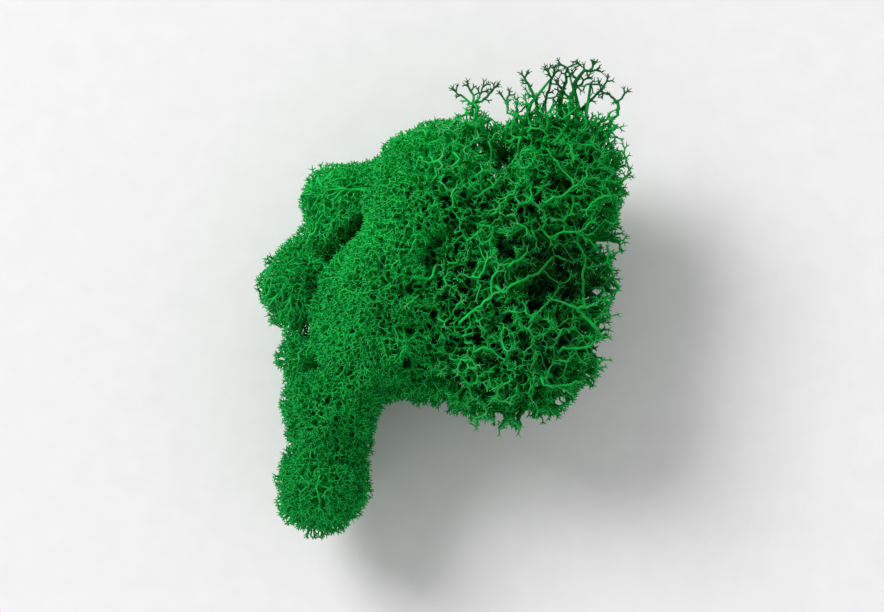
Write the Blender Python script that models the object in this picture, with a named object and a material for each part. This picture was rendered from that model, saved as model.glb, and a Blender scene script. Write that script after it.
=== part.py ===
"""A clump of dyed reindeer moss: rounded, tufted heads on short stalks, cut off flat underneath.

The clump is a cushion of branched stalks that grew pressed together. Each main fork is one
closed solid: a stalk that stands on the cut and a head whose surface is the line that its
twig tips reach. Where two heads press on each other they part along a plane.
"""

import math

import bmesh
import bpy
import numpy as np
from mathutils import Vector, noise

MM = 0.001

# Driving dimensions, in millimetres. +X is right, +Y is back, +Z is up, the cut is at z = 0.
BLEND = 4.0  # how softly the lumps run into each other
SEAM_GAP = 0.3  # clear gap between two heads that press on each other
FOOT_PULL = 0.82  # a stalk stands at this share of its head's distance from the middle
TUFT_SPACING = 7.2  # mean width of a tuft of twigs
TUFT_DEPTH = 1.9  # how deep the pits between tufts go
TUFT_FLANK = 0.55  # how much of a tuft's width its rounded flank takes
STALK_RIBS = 5  # stems that can be told apart around a stalk
RIB_DEPTH = 0.1  # as a share of the stalk's radius
MARCH_STEP = 0.2  # step with which a surface is looked for along a ray
REACH = 60.0  # no surface is further than this from its head's middle

# Each head: middle of its cap, radius across, radius front to back, radius upwards, radius
# downwards, radius of its stalk at the cut, and how many points its surface has.
HEADS = {
    "back_head": ((-1.0, 18.5, 26.0), (13.8, 13.8, 21.5, 14.0), 8.4, 1300),
    "middle_head": ((-10.0, -4.0, 26.0), (14.0, 14.0, 21.0, 14.0), 8.6, 1300),
    "back_right_head": ((18.5, 19.0, 23.5), (14.2, 15.0, 20.0, 13.5), 8.6, 1560),
    "front_right_head": ((13.0, -7.0, 23.0), (15.6, 15.0, 19.5, 13.0), 9.2, 1500),
    "back_left_lobe": ((-18.5, 18.0, 22.0), (7.8, 7.8, 13.0, 11.0), 5.2, 460),
    "left_lobe": ((-26.0, 3.2, 19.0), (7.6, 8.8, 13.0, 11.0), 5.4, 520),
    "left_tuft": ((-24.0, -9.4, 16.0), (6.4, 6.6, 10.0, 9.5), 4.2, 300),
    "front_left_head": ((-20.0, -18.5, 22.5), (9.6, 10.5, 16.0, 12.0), 5.8, 500),
    "front_left_lobe": ((-21.6, -31.6, 19.5), (9.2, 10.2, 15.0, 11.5), 5.8, 520),
}

# Swellings that several heads share: middle, radii (along, across, up, down) and the compass
# angle of the first radius, in degrees from +X towards +Y.
SWELLINGS = {
    "dome": ((6.5, 5.0, 24.0), (24.5, 26.5, 21.5, 12.0), 0.0),
    "ridge": ((-8.0, 6.0, 25.0), (23.0, 11.5, 24.5, 12.0), 69.0),
    "shoulder": ((-18.5, 3.5, 17.5), (17.0, 9.2, 15.5, 11.0), 86.0),
}

# Twigs that stand out behind the dome: the space that they fill, from a root to a tip, with
# the radius at each end.
SPRIGS = {
    "left": ((4.6, 26.0, 32.0), 4.2, (4.8, 33.0, 36.0), 2.9),
    "middle": ((13.0, 27.0, 32.0), 4.0, (13.4, 34.2, 36.5), 2.9),
    "tall": ((20.4, 26.0, 31.0), 4.8, (21.9, 36.8, 37.0), 4.7),
    "right": ((26.6, 24.0, 30.0), 4.2, (28.6, 32.6, 34.5), 2.9),
}

# Hollows between the twigs, most of them in the dome's open right side: middle, seen from above,
# and radius.
HOLLOWS = (
    (21.0, 4.6, 5.2),
    (27.6, 9.4, 2.6),
    (26.7, 2.4, 2.6),
    (16.2, 8.6, 2.6),
    (16.4, 0.6, 2.6),
    (19.6, 19.2, 3.0),
    (10.1, 25.4, 2.4),
    (8.1, -3.2, 2.4),
    (-2.3, 6.2, 2.4),
)
HOLLOW_DEPTH = 4.4
HOLLOW_EDGE = 1.5  # the rim lies at this share of the radius

# Rings of points down a stalk, as a share of the way out to its foot's edge: the first two
# lie on the cut and the others climb the stalk.
STALK_RINGS = (0.5, 0.995, 1.2, 1.6, 2.2)
STALK_FIELD = 2.7  # the evenly spread points start outside this share

MOSS_GREEN = (0.006, 0.24, 0.045, 1.0)
MOSS_ROUGHNESS = 0.9


def ellipsoid_distance(points, centre, across, along, up, down, turn=0.0):
    """Rough signed distance from points to a lump that is taller above its middle than below."""
    offset = points - np.array(centre)
    c, s = math.cos(math.radians(turn)), math.sin(math.radians(turn))
    x = offset[..., 0] * c + offset[..., 1] * s
    y = offset[..., 1] * c - offset[..., 0] * s
    z = offset[..., 2]
    height = np.where(z > 0.0, up, down)
    q = np.sqrt((x / across) ** 2 + (y / along) ** 2 + (z / height) ** 2)
    return (q - 1.0) * min(across, along, up, down)


def capsule_distance(points, start, start_radius, end, end_radius):
    """Distance to a rod with round ends, which tapers from one radius to the other."""
    start, end = np.array(start), np.array(end)
    axis = end - start
    share = np.clip((points - start) @ axis / (axis @ axis), 0.0, 1.0)
    nearest = start + share[..., None] * axis
    radius = start_radius + (end_radius - start_radius) * share
    return np.linalg.norm(points - nearest, axis=-1) - radius


def stalk_ribs(angle, phase):
    """The stalk's radius around its axis, as a share of its mean radius."""
    return 1.0 + RIB_DEPTH * np.cos(STALK_RIBS * angle + phase)


def stalk_distance(points, head):
    """Rough signed distance to a head's ribbed stalk, which widens from the cut to the cap."""
    (x, y, z), (across, along, _, _), foot_radius, _ = HEADS[head]
    share = np.clip(points[..., 2] / z, 0.0, 1.0)
    pull = FOOT_PULL + (1.0 - FOOT_PULL) * share
    dx = points[..., 0] - x * pull
    dy = points[..., 1] - y * pull
    top_radius = 0.86 * min(across, along)
    radius = foot_radius + (top_radius - foot_radius) * share**1.5
    return np.hypot(dx, dy) - radius * stalk_ribs(np.arctan2(dy, dx), x)


def clump_distance(points):
    """The whole clump's outer surface: all lumps, stalks and sprigs run together softly."""
    parts = []
    for name, (centre, radii, _, _) in HEADS.items():
        parts.append(ellipsoid_distance(points, centre, *radii))
        parts.append(np.where(points[..., 2] < centre[2], stalk_distance(points, name), REACH))
    for centre, radii, turn in SWELLINGS.values():
        parts.append(ellipsoid_distance(points, centre, *radii, turn=turn))
    for sprig in SPRIGS.values():
        parts.append(capsule_distance(points, *sprig))
    softened = sum(np.exp(-part / (0.25 * BLEND)) for part in parts)
    return -0.25 * BLEND * np.log(softened)


def tuft_relief(point):
    """How far the tips stand back at a point: nothing on a tuft, all of TUFT_DEPTH in a pit."""
    nearest, second = noise.voronoi(Vector(point) / TUFT_SPACING)[0][:2]
    crest = min(1.0, (second - nearest) / TUFT_FLANK)
    return TUFT_DEPTH * (1.0 - crest) ** 2


def hollow_relief(point):
    """How far the tips stand back at a point: nothing outside the hollows, most in their middles."""
    depth = 0.0
    for x, y, radius in HOLLOWS:
        share = max(0.0, 1.0 - math.hypot(point[0] - x, point[1] - y) / (HOLLOW_EDGE * radius))
        depth = max(depth, HOLLOW_DEPTH * share * share * (3.0 - 2.0 * share))
    return depth


def seam_planes(head):
    """The planes that part a head from each other head, as (point, normal away from the head)."""
    centre, radii, _, _ = HEADS[head]
    here = np.array(centre)
    planes = []
    for other, (other_centre, other_radii, _, _) in HEADS.items():
        if other == head:
            continue
        there = np.array(other_centre)
        across = there[:2] - here[:2]
        distance = np.linalg.norm(across)
        size, other_size = min(radii[:2]), min(other_radii[:2])
        share = (distance**2 + size**2 - other_size**2) / (2.0 * distance**2)
        top = np.append(here[:2] + across * share, 0.5 * (here[2] + there[2]))
        foot = np.append(top[:2] * FOOT_PULL, 0.0)
        level = np.append(across / distance, 0.0)
        lean = level @ (top - foot) / top[2]
        normal = level - np.array((0.0, 0.0, lean))
        normal /= np.linalg.norm(normal)
        planes.append((top - normal * 0.5 * SEAM_GAP, normal))
    return planes


def look_directions(head):
    """Unit directions from a head's middle, evenly spread, with extra rings down the stalk."""
    (x, y, z), _, foot_radius, count = HEADS[head]
    index = np.arange(count) + 0.5
    height = 1.0 - 2.0 * index / count
    angle = index * math.pi * (3.0 - math.sqrt(5.0))
    ring = np.sqrt(1.0 - height**2)
    spread = np.stack((ring * np.cos(angle), ring * np.sin(angle), height), axis=1)

    foot = np.array((x * FOOT_PULL, y * FOOT_PULL))
    falls = spread[:, 2] < 0.0
    drop = np.where(falls, -z / np.where(falls, spread[:, 2], -1.0), REACH)
    landing = np.array((x, y)) + spread[:, :2] * drop[:, None]
    in_field = np.linalg.norm(landing - foot, axis=1) < STALK_FIELD * foot_radius
    groups = [spread[~(falls & in_field)], np.array([[*(foot - (x, y)), -z]])]

    turns = np.linspace(0.0, 2.0 * math.pi, 4 * STALK_RIBS, endpoint=False)
    edge = foot_radius * stalk_ribs(turns, x)
    for share in STALK_RINGS:
        out_x = foot[0] + share * edge * np.cos(turns) - x
        out_y = foot[1] + share * edge * np.sin(turns) - y
        groups.append(np.stack((out_x, out_y, np.full(len(turns), -z)), axis=1))
    directions = np.concatenate(groups)
    return directions / np.linalg.norm(directions, axis=1)[:, None]


def surface_points(head):
    """Where the head's surface lies along each direction, and which of them to leave out."""
    centre = np.array(HEADS[head][0])
    directions = look_directions(head)
    steps = np.arange(MARCH_STEP, REACH, MARCH_STEP)
    reach = np.full(len(directions), REACH)
    for start in range(0, len(directions), 200):
        part = slice(start, start + 200)
        samples = centre + directions[part, None, :] * steps[None, :, None]
        outside = clump_distance(samples) > 0.0
        first = np.where(outside.any(axis=1), outside.argmax(axis=1), len(steps) - 1)
        reach[part] = steps[first]
    skin = centre + directions * reach[:, None]
    on_cap = np.clip(skin[:, 2] / 8.0 - 0.5, 0.0, 1.0)
    on_top = np.clip(directions[:, 2] / 0.3, 0.0, 1.0)
    reach -= np.array([tuft_relief(point) for point in skin]) * on_cap
    reach -= np.array([hollow_relief(point) for point in skin]) * on_top

    limit = np.full(len(directions), REACH)
    for point, normal in seam_planes(head):
        towards = directions @ normal
        room = (point - centre) @ normal
        limit = np.where(towards > 1e-6, np.minimum(limit, room / np.maximum(towards, 1e-6)), limit)
    falls = directions[:, 2] < -1e-6
    floor = np.where(falls, -centre[2] / np.where(falls, directions[:, 2], -1.0), REACH)
    on_floor = floor < np.minimum(limit, reach)
    deep_in_seam = (limit < reach - 1.6) & ~on_floor
    reach = np.minimum(np.minimum(reach, limit), floor)
    points = centre + directions * reach[:, None]
    points[on_floor, 2] = 0.0
    thinned = np.arange(len(directions)) % 7 != 0
    keep = ~(deep_in_seam & thinned)
    return directions[keep], points[keep]


def moss_material(name):
    """A matte dyed green."""
    material = bpy.data.materials.new(name)
    material.use_nodes = True
    shader = material.node_tree.nodes["Principled BSDF"]
    shader.inputs["Base Color"].default_value = MOSS_GREEN
    shader.inputs["Roughness"].default_value = MOSS_ROUGHNESS
    shader.inputs["Metallic"].default_value = 0.0
    material.diffuse_color = MOSS_GREEN
    return material


def build_head(name):
    """One head with its stalk: a net over the directions, drawn out to the surface points."""
    directions, points = surface_points(name)
    bm = bmesh.new()
    for direction in directions:
        bm.verts.new(direction)
    bm.verts.ensure_lookup_table()
    bmesh.ops.convex_hull(bm, input=bm.verts[:])
    bm.verts.ensure_lookup_table()
    for vert, point in zip(bm.verts, points):
        vert.co = Vector(point) * MM
    bmesh.ops.recalc_face_normals(bm, faces=bm.faces[:])
    mesh = bpy.data.meshes.new(name)
    bm.to_mesh(mesh)
    bm.free()
    mesh.shade_smooth()
    mesh.materials.append(moss_material(name))
    head = bpy.data.objects.new(name, mesh)
    bpy.context.collection.objects.link(head)
    return head


def centre_on_origin(heads):
    """Move the heads together, so that the middle of the space they take is above the origin."""
    points = np.concatenate([[vert.co for vert in head.data.vertices] for head in heads])
    middle = 0.5 * (points.min(axis=0) + points.max(axis=0))
    for head in heads:
        for vert in head.data.vertices:
            vert.co.x -= middle[0]
            vert.co.y -= middle[1]
    print(f"moved by {-middle[0]:.5f}, {-middle[1]:.5f}")


def main():
    for old in list(bpy.data.objects):
        bpy.data.objects.remove(old)
    heads = [build_head(name) for name in HEADS]
    centre_on_origin(heads)
    for head in heads:
        print(f"{head.name}: {len(head.data.polygons)} triangles")


main()
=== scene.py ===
# %% [markdown]
# A clump of dyed reindeer moss, lit and photographed from above.
#
# The real thing is a cushion of thin stalks that fork again and again until their tips close up into
# a soft, rounded skin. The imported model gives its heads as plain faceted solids. They could be given a
# bumpy material, but a cushion of twigs is open: light falls between the tips and long arms cross the
# dark hollows. So every head is grown again here as real twigs, inside the space that its solid holds.

# %% Load the frame
import math
import random

import bpy
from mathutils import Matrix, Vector, noise
from mathutils.bvhtree import BVHTree
from mathutils.geometry import delaunay_2d_cdt
from mathutils.kdtree import KDTree


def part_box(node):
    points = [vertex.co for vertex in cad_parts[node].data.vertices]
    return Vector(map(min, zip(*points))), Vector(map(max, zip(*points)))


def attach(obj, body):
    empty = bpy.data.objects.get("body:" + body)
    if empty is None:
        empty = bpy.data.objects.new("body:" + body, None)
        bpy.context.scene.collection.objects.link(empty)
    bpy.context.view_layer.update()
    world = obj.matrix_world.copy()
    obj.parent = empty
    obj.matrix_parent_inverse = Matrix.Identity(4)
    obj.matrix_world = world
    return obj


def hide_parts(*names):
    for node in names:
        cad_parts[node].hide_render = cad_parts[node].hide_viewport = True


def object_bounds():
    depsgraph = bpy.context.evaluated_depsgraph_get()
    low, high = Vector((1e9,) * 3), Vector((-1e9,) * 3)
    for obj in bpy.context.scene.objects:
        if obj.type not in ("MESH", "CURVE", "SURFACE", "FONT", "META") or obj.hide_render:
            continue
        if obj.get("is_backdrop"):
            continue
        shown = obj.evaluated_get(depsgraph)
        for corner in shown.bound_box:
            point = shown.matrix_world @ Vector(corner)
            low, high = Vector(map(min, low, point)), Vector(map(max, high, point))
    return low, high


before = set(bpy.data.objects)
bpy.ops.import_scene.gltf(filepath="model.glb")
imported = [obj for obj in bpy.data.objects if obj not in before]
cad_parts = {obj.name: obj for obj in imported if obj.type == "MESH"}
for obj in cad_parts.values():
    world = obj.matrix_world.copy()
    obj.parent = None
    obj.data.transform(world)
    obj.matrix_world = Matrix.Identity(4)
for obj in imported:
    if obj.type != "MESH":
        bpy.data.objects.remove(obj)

MM = 0.001
cad_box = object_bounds()
centre = (cad_box[0] + cad_box[1]) / 2
print("heads:", sorted(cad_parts))
print("size in mm:", [round(side / MM, 1) for side in cad_box[1] - cad_box[0]])

# %% [markdown]
# The camera comes first, because every later choice of detail is made by what it sees. The photograph
# was taken from straight above, and the clump lay behind the middle of the picture, so it is seen from
# just in front of the vertical. A long lens keeps the heads' sizes true to each other.

# %% Camera
CAMERA_ELEVATION = math.radians(85.0)
CAMERA_DISTANCE = 0.86
CAMERA_LENS = 200.0
LOOK_HEIGHT = 0.022
look_at = Vector((centre.x, centre.y, LOOK_HEIGHT))
backwards = Vector((0.0, -math.cos(CAMERA_ELEVATION), math.sin(CAMERA_ELEVATION)))
bpy.ops.object.select_all(action="DESELECT")
bpy.ops.object.camera_add(location=look_at + backwards * CAMERA_DISTANCE)
camera = bpy.context.active_object
camera.name = "camera"
camera.rotation_euler = (-backwards).to_track_quat("-Z", "Y").to_euler()
camera.data.lens = CAMERA_LENS
camera.data.clip_start = 0.01
camera.data.clip_end = 10.0
bpy.context.scene.camera = camera
print("camera is", CAMERA_DISTANCE, "m away with a lens of", CAMERA_LENS, "mm")

# %% [markdown]
# The floor is a wide pale sheet. Its material has a faint grain so that it isn't a dead flat colour.
# Three small functions add nodes, colour ramps and links, here and for the moss later.

# %% Floor
FLOOR_SIDE = 4.0
FLOOR_GRAIN = 900.0
FLOOR_TONES = ((0.0, (0.77, 0.76, 0.77, 1.0)), (1.0, (0.83, 0.82, 0.83, 1.0)))
FLOOR_ROUGHNESS, FLOOR_SHINE = 0.7, 0.2


def new_node(tree, kind, inputs=None, **values):
    """Adds a node, sets its properties and gives its inputs these values."""
    node = tree.nodes.new(kind)
    for key, value in values.items():
        setattr(node, key, value)
    for key, value in (inputs or {}).items():
        node.inputs[key].default_value = value
    return node


def colour_ramp(tree, stops):
    """Adds a colour ramp that has these colours at these places."""
    node = new_node(tree, "ShaderNodeValToRGB")
    elements = node.color_ramp.elements
    elements.remove(elements[1])
    elements[0].position, elements[0].color = stops[0]
    for place, colour in stops[1:]:
        elements.new(place).color = colour
    return node


def wire(tree, *links):
    """Joins nodes; every link is a node, its output, another node and that one's input."""
    for source, output, target, goal in links:
        tree.links.new(source.outputs[output], target.inputs[goal])


bpy.ops.object.select_all(action="DESELECT")
bpy.ops.mesh.primitive_plane_add(size=FLOOR_SIDE, location=(0.0, 0.0, 0.0))
floor = bpy.context.active_object
floor.name = "floor"
floor_paint = bpy.data.materials.new("pale_floor")
floor_paint.use_nodes = True
floor_tree = floor_paint.node_tree
floor_shader = floor_tree.nodes["Principled BSDF"]
floor_shader.inputs["Roughness"].default_value = FLOOR_ROUGHNESS
floor_shader.inputs["Specular IOR Level"].default_value = FLOOR_SHINE
floor_grain = new_node(floor_tree, "ShaderNodeTexNoise", {"Scale": FLOOR_GRAIN})
floor_tones = colour_ramp(floor_tree, FLOOR_TONES)
wire(floor_tree, (floor_grain, "Fac", floor_tones, "Fac"))
wire(floor_tree, (floor_tones, "Color", floor_shader, "Base Color"))
floor.data.materials.append(floor_paint)
floor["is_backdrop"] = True
print("floor of", FLOOR_SIDE, "m")

# %% [markdown]
# The light is a soft studio light. A large lamp up to the left and behind makes the left ridge the
# brightest part and leaves the right side's hollows dark, as in the photograph. A white world fills the
# shadows a little. The colour is shown without a film curve, which would grey such a pure green.

# %% Light
KEY_PLACE = Vector((-1.5, 1.2, 1.95))
KEY_SIDE = 1.2
KEY_POWER = 60.0
FILL_STRENGTH = 0.60
bpy.ops.object.select_all(action="DESELECT")
bpy.ops.object.light_add(type="AREA", location=KEY_PLACE)
lamp = bpy.context.active_object
lamp.name = "key_light"
lamp.rotation_euler = (look_at - KEY_PLACE).to_track_quat("-Z", "Y").to_euler()
lamp.data.size = KEY_SIDE
lamp.data.energy = KEY_POWER
world = bpy.data.worlds.new("white_room")
bpy.context.scene.world = world
world.use_nodes = True
background = world.node_tree.nodes["Background"]
background.inputs["Color"].default_value = (1.0, 1.0, 1.0, 1.0)
background.inputs["Strength"].default_value = FILL_STRENGTH
bpy.context.scene.view_settings.view_transform = "Standard"
bpy.context.scene.view_settings.look = "None"
print("key light at", [round(part, 2) for part in KEY_PLACE])

# %% [markdown]
# The solids say how far the moss reaches. A search tree over each head's triangles answers whether a
# point lies inside that head. The outer skin is all the triangles except the flat cut below and the
# seams where one head meets the next, because twigs cross those seams freely.

# %% The skin of the clump
SEAM_LOOKS = (0.5, 1.5)
SEAM_REACH = 0.2
CUT_HEIGHT = 0.05
FACES_DOWN = -0.9
TEST_RAY = Vector((0.013, 0.027, 1.0)).normalized()
RAY_STEP, MOST_CROSSINGS = 0.001, 50


def read_solid(node):
    """Returns a node's points in millimetres, its triangles and a search tree over them."""
    mesh = node.data
    mesh.calc_loop_triangles()
    points = [vertex.co / MM for vertex in mesh.vertices]
    triangles = [tuple(triangle.vertices) for triangle in mesh.loop_triangles]
    return points, triangles, BVHTree.FromPolygons(points, triangles)


solids = {name: read_solid(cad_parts[name]) for name in sorted(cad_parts)}
corners = {name: [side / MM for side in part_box(name)] for name in solids}


def is_inside(name, point):
    """Says whether a point is inside a head's solid: a ray from inside crosses an odd number of faces."""
    low, high = corners[name]
    if any(point[axis] < low[axis] or point[axis] > high[axis] for axis in range(3)):
        return False
    tree = solids[name][2]
    crossings = 0
    start = point
    while crossings < MOST_CROSSINGS:
        hit = tree.ray_cast(start, TEST_RAY)[0]
        if hit is None:
            break
        crossings += 1
        start = hit + TEST_RAY * RAY_STEP
    return crossings % 2 == 1


def in_moss(point):
    """Says whether a point lies in any head, or in the thin gap between two heads."""
    if any(is_inside(name, point) for name in solids):
        return True
    return any(tree.find_nearest(point, SEAM_REACH)[0] for points, triangles, tree in solids.values())


def outer_triangles():
    """Collects the points and triangles of the outer skin."""
    all_points, kept = [], []
    for name, (points, triangles, tree) in solids.items():
        start = len(all_points)
        all_points += points
        for triangle in triangles:
            a, b, c = (points[corner] for corner in triangle)
            normal = (b - a).cross(c - a).normalized()
            middle = (a + b + c) / 3
            on_cut = middle.z < CUT_HEIGHT and normal.z < FACES_DOWN
            beyond = [middle + normal * look for look in SEAM_LOOKS]
            others = [other for other in solids if other != name]
            on_seam = any(is_inside(other, place) for other in others for place in beyond)
            if not on_cut and not on_seam:
                kept.append(tuple(start + corner for corner in triangle))
    return all_points, kept


skin_points, skin_triangles = outer_triangles()
skin = BVHTree.FromPolygons(skin_points, skin_triangles)


def depth_below_skin(point):
    """Returns how deep a point lies under the skin, in millimetres, and the way out."""
    nearest, normal, index, distance = skin.find_nearest(point)
    if in_moss(point):
        return distance, (nearest - point).normalized()
    return -distance, normal


print("depth inside the clump:", round(depth_below_skin(Vector((5.0, 5.0, 22.0)))[0], 1), "mm")

# %% [markdown]
# The skin isn't equally thick everywhere. From above it is a net: twigs crowd together in strands, with
# darker cells between them that are two to four millimetres wide. On the left ridge the cells are
# shallow, like foam. On the right they are deep, and there are hollows one can look into.
#
# A regular grid would make such a net look woven. So seeds are thrown at random, never too near to one
# another, and joined into triangles. The middle of each triangle is a fork of three strands, which lead
# to the forks of the triangles beside it, and a cell is left around every seed.
#
# One number, from 0 for closed to 1 for open, then says how open the moss is at any place. The hollows'
# places and radii are read from the photograph, and so is the one big dark hollow at the right.

# %% Where the moss is open
CLOSED_X, OPEN_X = -14.0, 13.0
OPEN_LEFT, OPEN_RIGHT = 0.05, 0.85
BACK_Y, BACK_OVER = 17.0, 5.0
OPEN_AT_BACK = 0.65
NET_SEED = 3
NET_X, NET_Y = (-14.0, 38.0), (-26.0, 38.0)
NET_TRIES, NET_ROOM = 1000, 2.1
STRAND_PARTS = 6
STRAND_EDGE = (0.25, 1.3)
CELL_SHARE = 0.62
DARK_MIDDLE, DARK_REACH = (20.0, 4.6), (12.0, 9.0)
HOLLOW_SOFTNESS = 1.5
HOLLOWS = (
    (20.6, 4.9, 1.6), (21.8, 0.6, 1.5), (17.0, 1.5, 2.2), (27.0, 2.6, 1.9), (26.6, 4.6, 1.1),
    (28.6, 10.6, 2.0), (22.8, 12.8, 1.0), (25.1, 9.1, 0.8), (17.4, 9.2, 1.2), (15.0, 9.4, 1.1),
    (15.2, -1.4, 1.7), (21.8, -3.1, 1.0), (14.0, 4.2, 1.0), (11.6, 7.6, 0.8), (10.2, 2.5, 1.0),
    (20.3, 19.6, 1.9), (24.6, 16.4, 1.0), (21.4, 16.6, 0.9), (26.0, 25.0, 1.1), (31.0, 23.0, 0.8),
    (15.7, 20.2, 0.9), (25.5, 18.9, 0.7), (20.3, 25.4, 1.0), (23.3, 27.6, 0.7), (31.7, 14.6, 1.0),
    (29.3, 15.5, 0.6), (11.0, 25.2, 1.5), (4.9, 26.4, 1.0), (8.7, 21.2, 0.9), (10.8, 18.7, 0.9),
    (8.8, 17.0, 1.2), (7.7, 13.6, 0.8), (12.8, 13.4, 1.2), (6.3, 22.9, 0.7), (2.2, 18.8, 0.7),
    (1.2, 11.0, 0.9), (4.3, 10.9, 1.2), (-5.6, 17.2, 0.8), (-2.8, 24.6, 1.0), (-7.0, 12.7, 0.8),
    (-2.3, 6.2, 1.4), (-7.4, 0.6, 1.0), (-5.6, 0.6, 1.0), (-6.1, 3.0, 0.8), (5.5, -0.7, 0.9),
    (2.8, -2.6, 0.9), (8.1, -3.6, 1.1), (7.5, 1.8, 0.8), (5.1, 5.0, 1.2), (1.5, 0.2, 0.8),
    (2.6, -13.6, 0.9), (9.0, -10.9, 1.4), (13.8, -7.7, 1.0), (-5.8, -6.0, 1.0), (-5.8, -11.0, 1.0),
    (0.5, -7.9, 0.9), (-4.5, -13.2, 0.9), (11.5, -3.3, 0.8), (19.3, -11.5, 1.3), (23.8, -9.6, 1.0),
    (17.2, -4.4, 0.8), (20.8, -5.0, 0.8), (14.7, -12.4, 0.8), (5.4, -5.9, 0.8),
)


def mix(a, b, share):
    """Goes from a to b as share goes from 0 to 1."""
    return a + (b - a) * share


def smooth(share):
    """An even start and stop between 0 and 1."""
    share = max(0.0, min(1.0, share))
    return share * share * (3.0 - 2.0 * share)


def region(point):
    """How open this side of the clump is, from 0 to 1."""
    value = mix(OPEN_LEFT, OPEN_RIGHT, smooth((point.x - CLOSED_X) / (OPEN_X - CLOSED_X)))
    return value * mix(1.0, OPEN_AT_BACK, smooth((point.y - BACK_Y) / BACK_OVER + 0.5))


def plan_net():
    """Plans a net of cells seen from above; returns its forks and which forks are neighbours."""
    throw = random.Random(NET_SEED)
    seeds = []
    for _ in range(NET_TRIES):
        seed = Vector((throw.uniform(*NET_X), throw.uniform(*NET_Y)))
        if all((seed - other).length > NET_ROOM for other in seeds):
            seeds.append(seed)
    joined = delaunay_2d_cdt(seeds, [], [], 0, 0.001)
    points, triangles = joined[0], joined[2]
    forks = []
    sides = {}
    for number, triangle in enumerate(triangles):
        forks.append(sum((points[corner] for corner in triangle), Vector((0.0, 0.0))) / 3)
        for index in range(3):
            side = tuple(sorted((triangle[index], triangle[index - 1])))
            sides.setdefault(side, []).append(number)
    return forks, [tuple(pair) for pair in sides.values() if len(pair) == 2]


def tree_of(all_places):
    """Returns a search tree over places, which it knows by their numbers in the list."""
    tree = KDTree(len(all_places))
    for number, place in enumerate(all_places):
        tree.insert(place, number)
    tree.balance()
    return tree


net_forks, net_sides = plan_net()
strands = []
for first, second in net_sides:
    ends = net_forks[first], net_forks[second]
    strands += [ends[0].lerp(ends[1], part / STRAND_PARTS).to_3d() for part in range(STRAND_PARTS + 1)]
strand_tree = tree_of(strands)
print("net forks and strands:", len(net_forks), len(net_sides))


def net(point):
    """How far a place lies from the strands of the net: 0 on a strand, 1 in the middle of a cell."""
    distance = strand_tree.find(Vector((point.x, point.y, 0.0)))[2]
    return smooth((distance - STRAND_EDGE[0]) / (STRAND_EDGE[1] - STRAND_EDGE[0]))


def darkness(point):
    """How near a place is to the middle of the big dark hollow at the right, from 0 to 1."""
    x = (point.x - DARK_MIDDLE[0]) / DARK_REACH[0]
    y = (point.y - DARK_MIDDLE[1]) / DARK_REACH[1]
    return 1.0 - smooth(math.hypot(x, y))


def openness(point):
    """How open the moss is at a place: 0 on a strand, most in a hollow."""
    value = CELL_SHARE * region(point) * net(point)
    for x, y, radius in HOLLOWS:
        reach = math.hypot(point.x - x, point.y - y) / (radius * HOLLOW_SOFTNESS)
        value = max(value, 1.0 - smooth(reach))
    return value


for side_name, side_x in (("ridge", -15), ("right side", 24)):
    print("how open the", side_name, "is:", round(region(Vector((side_x, 5, 35))), 2))

# %% [markdown]
# Every stalk starts on the flat cut. A stalk grows as the lichen does: it goes up a little, then forks
# into up to four arms that leave at a wide angle and curve back towards the growing direction. An arm
# only grows where no other twig is too near and where it stays under the skin. Arms are long deep in
# the clump and short near the skin, so the twigs get finer and closer outwards by themselves. In the big
# dark hollow the twigs stand closer, or the pale floor would shine through it.

# %% Values of the growth
SEED = 7
STEM_STEP = 2.8
STEM_JITTER = 1.0
STEM_RISE = 1.3
STEM_MARGIN = 0.9
FEWEST_STEMS, STEM_TRIES, STEM_ROOM = 7, 400, 1.5
ARM_AT_SKIN, ARM_INSIDE = 1.3, 3.0
ROOM_AT_SKIN, ROOM_INSIDE, ROOM_IN_MAT = 0.70, 1.55, 1.2
ARM_WHEN_OPEN, ROOM_WHEN_OPEN = 0.6, 0.4
SKIN_GAP, OPEN_GAP = 0.5, 3.5
BRIDGE_CHANCE = 0.04
LOWEST = 1.2
STEM_HEIGHT = 13.0
MAT_HEIGHT, MAT_FIRMNESS = 7.0, 1.5
FINE_FROM, FINE_DEPTH = 1.0, 8.0
AXIS_ONWARDS, AXIS_OUTWARDS, AXIS_UPWARDS, AXIS_SHAKE = 0.75, 0.5, (0.8, 0.12), 0.12
DEEP_FORK = 0.7
ARMS_NEAR_SKIN = (2, 3, 4), (0.25, 0.5, 0.25)
ARMS_DEEP = (1, 2, 3), (0.3, 0.5, 0.2)
FORK_ANGLE = (38.0, 58.0)
DEEP_ANGLE, LONE_ANGLE, END_ANGLE = 0.6, 0.25, 0.35
ARM_SHRINKS = (1.0, 0.8, 0.6)
ARM_SPREAD, TURN_SPREAD = (0.85, 1.15), 0.3
HALF_ARM = 0.55
CELL = 2.6
MID_ROOM = 0.6
DARK_CROWDING = 0.30

chance = random.Random(SEED)
places = []
parents = []
owners = []
directions = []
cells = {}


def cell_of(point):
    """The cell of a coarse grid that a point falls in."""
    return int(point.x // CELL), int(point.y // CELL), int(point.z // CELL)


def add_point(point, parent, owner, direction):
    """Records one point of a twig and the way it grows there, and returns its number."""
    number = len(places)
    places.append(point)
    parents.append(parent)
    owners.append(owner)
    directions.append(direction)
    cells.setdefault(cell_of(point), []).append(number)
    return number


def has_room(point, room, own):
    """Says whether no point of another twig is nearer than room."""
    cx, cy, cz = cell_of(point)
    for x in (cx - 1, cx, cx + 1):
        for y in (cy - 1, cy, cy + 1):
            for z in (cz - 1, cz, cz + 1):
                for number in cells.get((x, y, z), ()):
                    if number not in own and (places[number] - point).length_squared < room * room:
                        return False
    return True


# %% Plant the stems on the cut
UP = Vector((0.0, 0.0, 1.0))


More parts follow.
